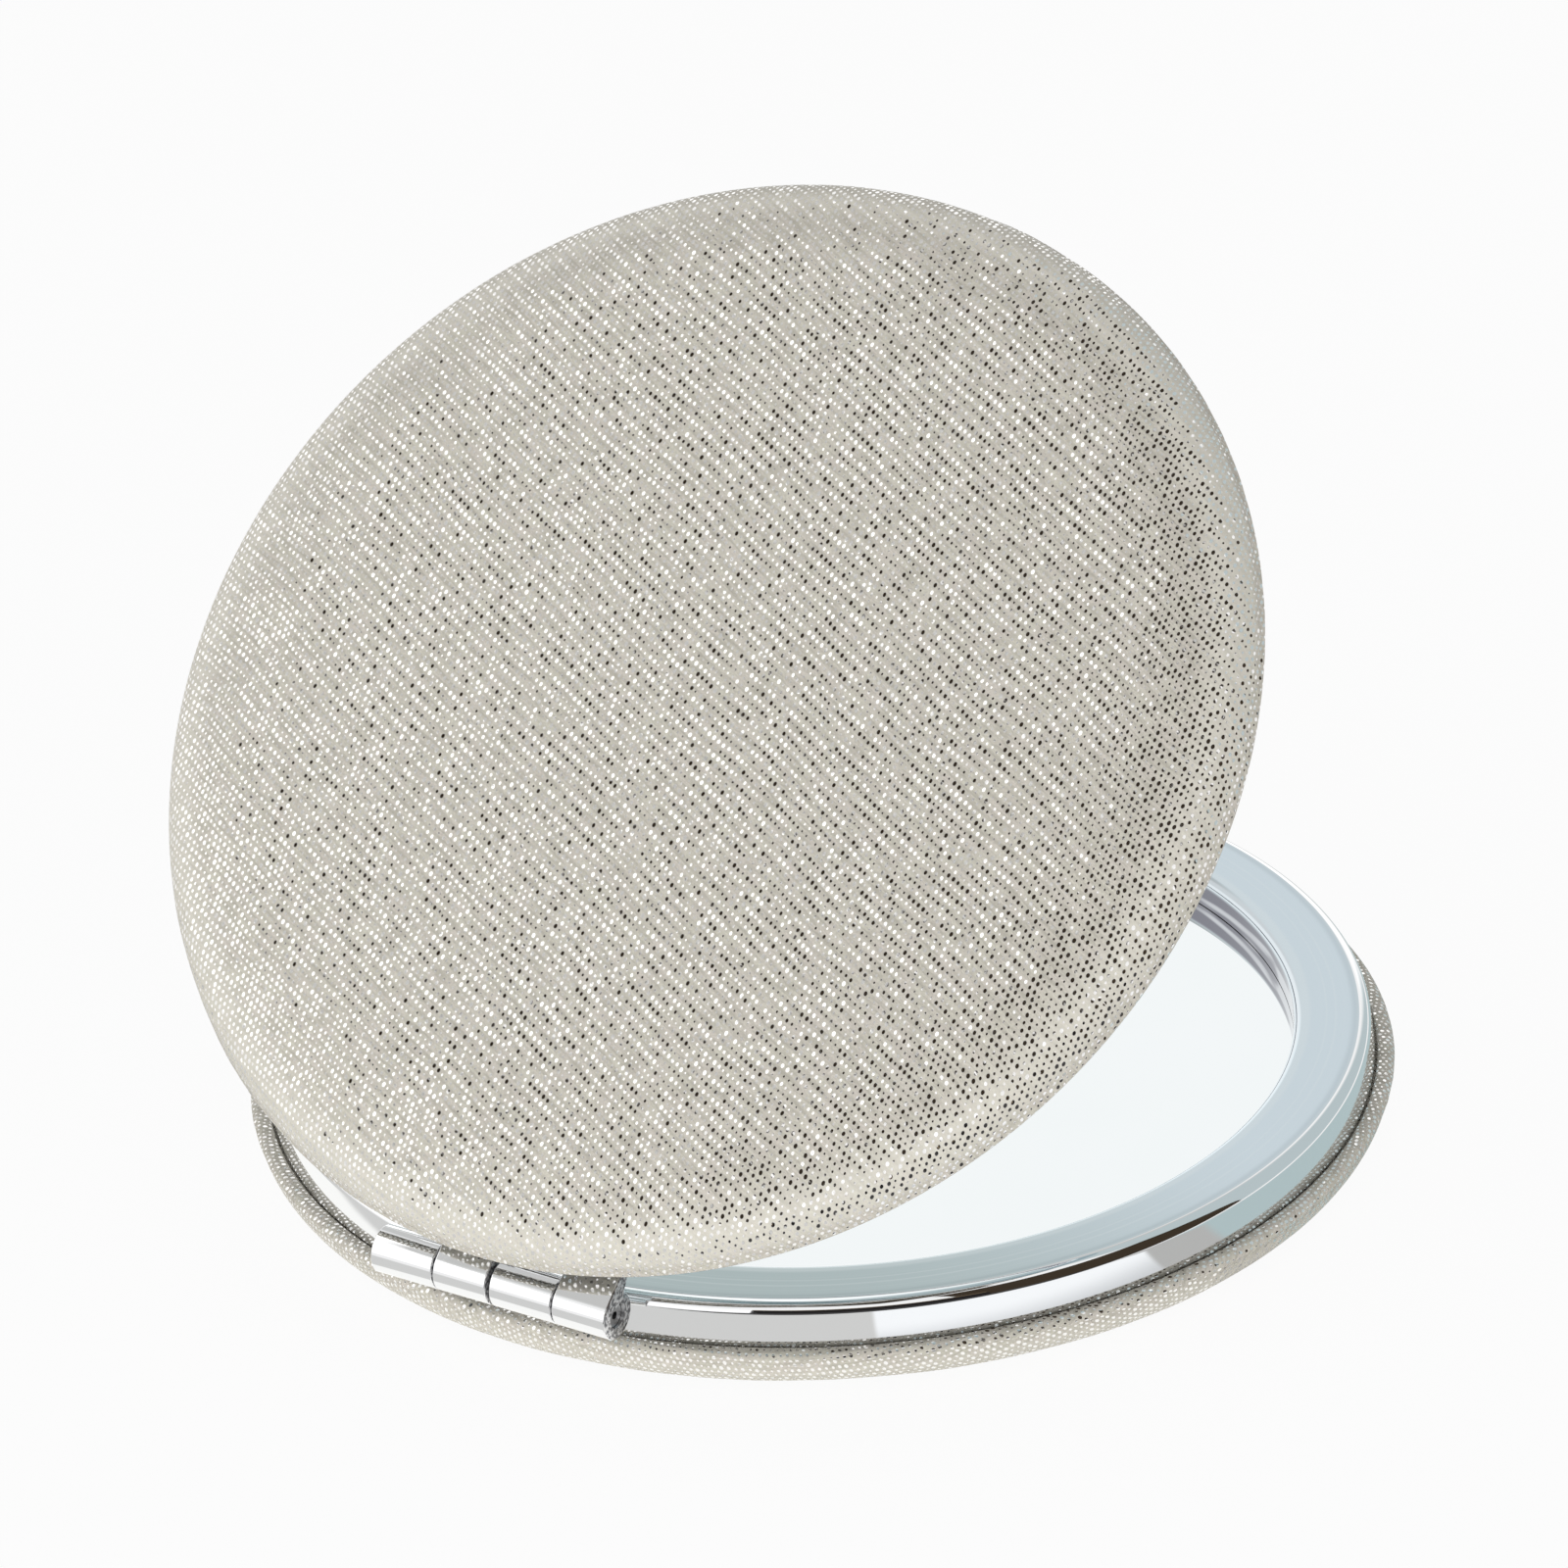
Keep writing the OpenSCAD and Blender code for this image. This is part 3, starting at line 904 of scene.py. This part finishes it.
def leather_cover(half, material, trial):
    """One half's leather cover: a closed skin with face, bead and turned-in hem."""
    lid = half == "lid"
    section = skin_section(FINE_STEPS) + lining_section(FINE_STEPS) + [(CORE_R, LEATHER_T)]
    points, faces, reach = turned_shell(section, FINE_GRID, CORE_R, True)
    moved = swollen(points, trial, not lid)
    piece, used = make_mesh(half + "_leather_skin", moved, faces, lid)
    add_leather_map(piece, used, points, reach, (-1.0, -1.0) if lid else (1.0, -1.0))
    piece.data.materials.append(material)
    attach(piece, half)
    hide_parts(half + "_leather_cover")
    return piece


def foam_pad(half, material):
    """One half's foam pad, inside the leather."""
    section = foam_section(FINE_STEPS) + [(CORE_R, FOAM_TOP)]
    points, faces, _ = turned_shell(section, FOAM_GRID, CORE_R, True)
    piece, _ = make_mesh(half + "_foam_filling", points, faces, half == "lid")
    piece.data.materials.append(material)
    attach(piece, half)
    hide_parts(half + "_foam_pad")
    return piece


def paint(node, material):
    """Gives a CAD node its material."""
    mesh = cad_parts[node].data
    mesh.materials.clear()
    mesh.materials.append(material)


# Studio

def ray_share(tree, kinds):
    """1 for rays of the given kinds, 0 for others."""
    path = put(tree, "ShaderNodeLightPath")
    total = path.outputs[kinds[0]]
    for kind in kinds[1:]:
        total = calc(tree, "MAXIMUM", total, path.outputs[kind])
    return total


WHITE = (1.0, 1.0, 1.0, 1.0)
# Direction in the studio towards the camera, along the floor, and the one across it
TO_CAMERA = (-0.551, 0.8345, 0.0)
ACROSS_CAMERA = (-0.8345, -0.551, 0.0)
# Zones of the room as metal reflects them: their limits as parts of a direction, and their colours
CEILING_Z = (0.60, 0.74)
CEILING_X = (-0.22, -0.08)
CEILING = (0.60, 0.60, 0.59, 1.0)
LOW_Z = (0.28, 0.42)
LOW_WALL = (1.3, 1.3, 1.3, 1.0)
CORNER_Y = (-0.32, -0.22)
CORNER_X = (0.05, 0.25)
CORNER = (0.52, 0.60, 0.62, 1.0)
# Colour and level of the room's light on the surfaces
ROOM_LIGHT = (0.99, 0.99, 1.0, 1.0)
ROOM_LEVEL = 0.56


def studio_zones(tree):
    """What metal reflects: a white room, brighter low down, with a dimmer ceiling and one grey corner."""
    way = put(tree, "ShaderNodeTexCoord").outputs["Generated"]
    x, y, z = put(tree, "ShaderNodeSeparateXYZ", {0: way}).outputs
    walls = mixed_colour(tree, ramp(tree, z, *LOW_Z, 1.0, 0.0), WHITE, LOW_WALL)
    ceiling = calc(tree, "MULTIPLY", ramp(tree, z, *CEILING_Z), ramp(tree, x, *CEILING_X))
    room = mixed_colour(tree, ceiling, walls, CEILING)
    corner = calc(tree, "MULTIPLY", ramp(tree, y, *CORNER_Y, 1.0, 0.0), ramp(tree, x, *CORNER_X, 1.0, 0.0))
    return mixed_colour(tree, corner, room, CORNER)


def make_world():
    """White to the camera, the studio's zones to reflections, soft grey light on the surfaces."""
    world = bpy.data.worlds.new("studio")
    bpy.context.scene.world = world
    world.use_nodes = True
    tree = world.node_tree
    tree.nodes.clear()
    seen = put(tree, "ShaderNodeBackground", {0: WHITE, 1: 1.0})
    mirrored = put(tree, "ShaderNodeBackground", {0: studio_zones(tree), 1: 1.0})
    light = put(tree, "ShaderNodeBackground", {0: ROOM_LIGHT, 1: ROOM_LEVEL})
    shiny = ray_share(tree, ("Is Glossy Ray",))
    open_air = ray_share(tree, ("Is Camera Ray", "Is Transmission Ray"))
    lit = put(tree, "ShaderNodeMixShader", {0: shiny, 1: light.outputs[0], 2: mirrored.outputs[0]})
    mix = put(tree, "ShaderNodeMixShader", {0: open_air, 1: lit.outputs[0], 2: seen.outputs[0]})
    put(tree, "ShaderNodeOutputWorld", {0: mix.outputs[0]})


# Patches of painted shadow and light on the floor close round the object, seen as the wall mirrors them, in
# degrees:
# the direction from X in which the light one starts, the angles from there at which it and the shade end, and
# half of each edge
PATCH_START = 128.4
START_EDGE = 0.4
PATCH_END = 37.6
PATCH_EDGE = 0.5
SHADE_END = 47.1
SHADE_EDGE = 1.0
TEAL_TO_PLAIN = (100.0, 150.0)
# Distances from the middle: where the painted bright strip at the wall's foot ends, where the painted pool of
# light brightens, and where the patches give way to the white floor
PATCH_NEAR = (40.8, 41.8)
PATCH_BRIGHTENS = (42.0, 47.5)
PATCH_REACH = (60.0, 75.0)
# Colours of the patches, all painted light and shadow on the floor
PATCH_FOOT_HIGHLIGHT = (1.1, 1.1, 1.08, 1.0)
PATCH_GREY = (0.66, 0.68, 0.70, 1.0)
PATCH_LIGHT_POOL = (1.08, 1.10, 1.12, 1.0)
PATCH_PLAIN = (0.70, 0.70, 0.69, 1.0)
PATCH_TEAL_SHADE = (0.47, 0.585, 0.60, 1.0)
PATCH_SHADE = (0.50, 0.50, 0.49, 1.0)
# The floor on the camera's side is painted dark where reflections see it, a painted shade: where that begins,
# towards the camera and across it
DARK_FROM = (54.0, 56.0)
DARK_ACROSS = (-32.0, -28.0)
DARK = (0.02, 0.018, 0.018)
# The floor itself: its paper, the share of its own white that is seen, half its side and its height in metres
PAPER_SCALE = 40.0
PAPER_DARK = (0.94, 0.94, 0.94, 1.0)
PAPER_LIGHT = (0.96, 0.96, 0.96, 1.0)
FLOOR_GLOW = 0.93
FLOOR_HALF = 2.0
FLOOR_Z = -0.00003


def patch_turn(tree, place):
    """Angle of a place on the floor from the first patch's start, in degrees."""
    start = math.radians(PATCH_START)
    ahead = vec(tree, "DOT_PRODUCT", place, (math.cos(start), math.sin(start), 0.0))
    aside = vec(tree, "DOT_PRODUCT", place, (-math.sin(start), math.cos(start), 0.0))
    return calc(tree, "DEGREES", calc(tree, "ARCTAN2", aside, ahead))


def painted_floor_patches(tree, turn, away):
    """The patches of painted light and painted shadow close to the object."""
    light = mixed_colour(tree, ramp(tree, away, *PATCH_BRIGHTENS), PATCH_GREY, PATCH_LIGHT_POOL)
    teal_shade = mixed_colour(tree, ramp(tree, turn, *TEAL_TO_PLAIN), PATCH_TEAL_SHADE, PATCH_PLAIN)
    shade_ends = ramp(tree, turn, SHADE_END - SHADE_EDGE, SHADE_END + SHADE_EDGE)
    shade = mixed_colour(tree, shade_ends, PATCH_SHADE, teal_shade)
    front = mixed_colour(tree, ramp(tree, turn, -START_EDGE, START_EDGE), PATCH_PLAIN, light)
    front = mixed_colour(tree, ramp(tree, away, *PATCH_NEAR), PATCH_FOOT_HIGHLIGHT, front)
    return mixed_colour(tree, ramp(tree, turn, PATCH_END - PATCH_EDGE, PATCH_END + PATCH_EDGE), front, shade)


def mirrored_floor(tree):
    """What chrome and foil mirror in the floor: white, with painted shadow and light in patches close by and
    a painted dark far part.
    """
    place = scaled(tree, put(tree, "ShaderNodeTexCoord").outputs["Object"], 1 / MM)
    away = vec(tree, "LENGTH", place)
    close = painted_floor_patches(tree, patch_turn(tree, place), away)
    lit = mixed_colour(tree, ramp(tree, away, *PATCH_REACH), close, WHITE)
    # Painted shade: the floor on the camera's side is dark in reflections
    towards = vec(tree, "DOT_PRODUCT", place, TO_CAMERA)
    across = vec(tree, "DOT_PRODUCT", place, ACROSS_CAMERA)
    dark = calc(tree, "MULTIPLY", ramp(tree, towards, *DARK_FROM), ramp(tree, across, *DARK_ACROSS))
    return mixed_colour(tree, dark, lit, (*DARK, 1.0))


def flat_face(name, points, material):
    """An object of one flat face, from its corners in metres."""
    mesh = bpy.data.meshes.new(name)
    mesh.from_pydata(points, [], [tuple(range(len(points)))])
    mesh.materials.append(material)
    face = bpy.data.objects.new(name, mesh)
    bpy.context.scene.collection.objects.link(face)
    return face


def make_floor():
    """A wide white floor that shows a faint shadow."""
    material, tree = new_material("floor_white")
    paper = noise(tree, put(tree, "ShaderNodeTexCoord").outputs["Object"], PAPER_SCALE)[0]
    matte = put(tree, "ShaderNodeBsdfDiffuse", {0: mixed_colour(tree, paper, PAPER_DARK, PAPER_LIGHT)})
    seen = mixed_colour(tree, ray_share(tree, ("Is Glossy Ray",)), WHITE, mirrored_floor(tree))
    white = put(tree, "ShaderNodeEmission", {0: seen, 1: 1.0})
    share = ray_share(tree, ("Is Camera Ray", "Is Glossy Ray", "Is Transmission Ray"))
    glow = calc(tree, "MULTIPLY", share, FLOOR_GLOW)
    mix = put(tree, "ShaderNodeMixShader", {0: glow, 1: matte.outputs[0], 2: white.outputs[0]})
    put(tree, "ShaderNodeOutputMaterial", {0: mix.outputs[0]})
    signs = ((-1, -1), (1, -1), (1, 1), (-1, 1))
    floor = flat_face("floor", [(x * FLOOR_HALF, y * FLOOR_HALF, FLOOR_Z) for x, y in signs], material)


# Point of the object that the lamps and the panels over the lid face
PANEL_AIM = Vector((0.0, 8.0, 32.0))
# Lamps: distance in metres, then each one's name, direction, two sides in metres and power in watts
LAMP_AWAY = 0.7
LAMPS = (("softbox_front", (-0.6, 0.78, 0.09), (0.5, 0.25), 2.3),
         ("softbox_left", (0.55, 0.8, 0.05), (0.4, 0.25), 1.45))


def softbox(name, direction, size, power):
    """A lamp with a rectangular face that reflections don't see."""
    data = bpy.data.lights.new(name, "AREA")
    data.shape = "RECTANGLE"
    data.size, data.size_y = size
    data.energy = power
    lamp = bpy.data.objects.new(name, data)
    bpy.context.scene.collection.objects.link(lamp)
    way = Vector(direction).normalized()
    lamp.location = PANEL_AIM * MM + way * LAMP_AWAY
    lamp.rotation_mode = "QUATERNION"
    lamp.rotation_quaternion = way.to_track_quat("Z", "Y")
    lamp.visible_glossy = False
    lamp.visible_camera = False


# Panels over the lid: where the face's mirror image of the camera points, and how its tilt moves that image
PANEL_WAY = Vector((0.485, 0.365, 0.796))
PANEL_RIGHT = Vector((-0.866, 0.3285, 0.378))
PANEL_UP = Vector((0.0, -0.9093, 0.4163))
PANEL_AWAY = 300.0
KEY_CORNERS = ((-20, -280), (-20, 80), (-220, -70), (-220, -280))
FLAG_CORNERS = ((14, -290), (60, -290), (232, -174), (330, -80), (560, -60), (560, 260), (21, 260), (21, 10),
                (88, -66), (14, -112))
KEY_LEVEL = 1.5
KEY_COLOUR = (1.0, 1.0, 1.0)
OVER_COLOUR = (0.035, 0.026, 0.018)
RIGHT_COLOUR = (0.05, 0.037, 0.025)
WARM_COLOUR = (0.22, 0.165, 0.10)
# Scale of a card's faint grain, and how much darker it gets there
CARD_GRAIN = 3.0
CARD_DIMMER = 0.97
# The dark card towards the camera, beyond the reach of the opened lid: how far off it stands,
# its two ends along the floor, and its heights, with a warm strip along its top
SIDE_AWAY = 120.0
SIDE_ENDS = (-30.0, 60.0)
SIDE_LOW = 0.5
SIDE_BLACK = 38.0
SIDE_TOP = 44.0
# The dark card to the lid's right: how far off it stands, its two ends along Y, and its heights
RIGHT_AWAY = 300.0
RIGHT_ENDS = (-150.0, 200.0)
RIGHT_LOW = 0.5
RIGHT_TOP = 420.0


def over_lid(corners):
    """Corners of a panel over the lid."""
    middle = PANEL_AIM + PANEL_WAY * PANEL_AWAY
    return [middle + PANEL_RIGHT * x + PANEL_UP * y for x, y in corners]


def camera_side(low, high):
    """Corners of an upright card on the camera's side, from a low to a high place above the floor."""
    way, along = Vector(TO_CAMERA), Vector(ACROSS_CAMERA)
    first, last = (way * SIDE_AWAY + along * end for end in SIDE_ENDS)
    up = Vector((0.0, 0.0, 1.0))
    return [first + up * low, last + up * low, last + up * high, first + up * high]


def right_side():
    """Corners of the upright card to the lid's right."""
    first, last = RIGHT_ENDS
    places = ((last, RIGHT_LOW), (first, RIGHT_LOW), (first, RIGHT_TOP), (last, RIGHT_TOP))
    return [Vector((-RIGHT_AWAY, y, z)) for y, z in places]


def panel(name, points, colour, strength):
    """A flat card seen only in reflections, and only from its back, which is turned to the object."""
    material, tree = new_material(name)
    grain = noise(tree, put(tree, "ShaderNodeTexCoord").outputs["Object"], CARD_GRAIN)[0]
    dimmer = tuple(CARD_DIMMER * part for part in colour)
    shade = mixed_colour(tree, grain, (*colour, 1.0), (*dimmer, 1.0))
    glow = put(tree, "ShaderNodeEmission", {0: shade, 1: strength})
    clear = put(tree, "ShaderNodeBsdfTransparent")
    back = put(tree, "ShaderNodeNewGeometry").outputs["Backfacing"]
    shown = put(tree, "ShaderNodeMixShader", {0: back, 1: clear.outputs[0], 2: glow.outputs[0]})
    put(tree, "ShaderNodeOutputMaterial", {0: shown.outputs[0]})
    sheet = flat_face(name, [point * MM for point in points], material)
    sheet.visible_camera = False
    sheet.visible_shadow = False
    sheet.visible_diffuse = False


def make_camera():
    """The camera that was fitted to the photograph."""
    azimuth, elevation = math.radians(CAM_AZIMUTH), math.radians(CAM_ELEVATION)
    back = Vector((math.sin(azimuth) * math.cos(elevation), -math.cos(azimuth) * math.cos(elevation),
                   math.sin(elevation)))
    right = (-back).cross(Vector((0, 0, 1))).normalized()
    up = right.cross(-back)
    aim = Vector((0, 0, CAM_AIM_Z)) + right * CAM_SHIFT[0] + up * CAM_SHIFT[1]
    roll = math.radians(CAM_ROLL)
    across = right * math.cos(roll) + up * math.sin(roll)
    upward = up * math.cos(roll) - right * math.sin(roll)
    data = bpy.data.cameras.new("camera")
    data.sensor_fit = "HORIZONTAL"
    data.sensor_width = SENSOR
    data.lens = CAM_PIXELS * SENSOR / IMAGE_SIDE
    data.clip_start, data.clip_end = 0.01, 20.0
    camera = bpy.data.objects.new("camera", data)
    bpy.context.scene.collection.objects.link(camera)
    eye = (aim + back * CAM_DISTANCE) * MM
    camera.matrix_world = Matrix((
        (across.x, upward.x, back.x, eye.x),
        (across.y, upward.y, back.y, eye.y),
        (across.z, upward.z, back.z, eye.z),
        (0, 0, 0, 1)))
    bpy.context.scene.camera = camera


def make_studio():
    """Floor, world, lamps and the cards that the metal and the foil reflect."""
    make_world()
    make_floor()
    bpy.context.scene.view_settings.view_transform = "Standard"
    panel("key_panel", over_lid(KEY_CORNERS), KEY_COLOUR, KEY_LEVEL)
    panel("flag_over", over_lid(FLAG_CORNERS), OVER_COLOUR, 1.0)
    panel("flag_right", right_side(), RIGHT_COLOUR, 1.0)
    panel("flag_low", camera_side(SIDE_LOW, SIDE_BLACK), DARK, 1.0)
    panel("flag_warm", camera_side(SIDE_BLACK, SIDE_TOP), WARM_COLOUR, 1.0)
    for lamp in LAMPS:
        softbox(*lamp)


def make_pieces():
    """Every piece of the object."""
    trial = simulated_swell()
    leather = leather_material()
    foam = hidden_material("foam_sheet")
    tape = hidden_material("tape_foam")
    plate = hidden_material("plate_board")
    magnet = hidden_material("magnet_nickel")
    pin = hidden_material("pin_rolled_steel")
    mirror = mirror_material()
    cut_metal = cut_material()
    for half in ("base", "lid"):
        cover = leather_cover(half, leather, trial)
        pad = foam_pad(half, foam)
        chrome_frame(half, chrome_material(half + "_chrome", half == "lid"), cut_metal)
        paint(half + "_backing_plate", plate)
        paint(half + "_magnet", magnet)
    paint("base_mirror", mirror)
    paint("lid_magnifying_mirror", mirror)
    paint("base_mirror_tape", tape)
    paint("lid_mirror_foam_ring", tape)
    paint("hinge_pin", pin)


make_camera()
make_studio()
make_pieces()
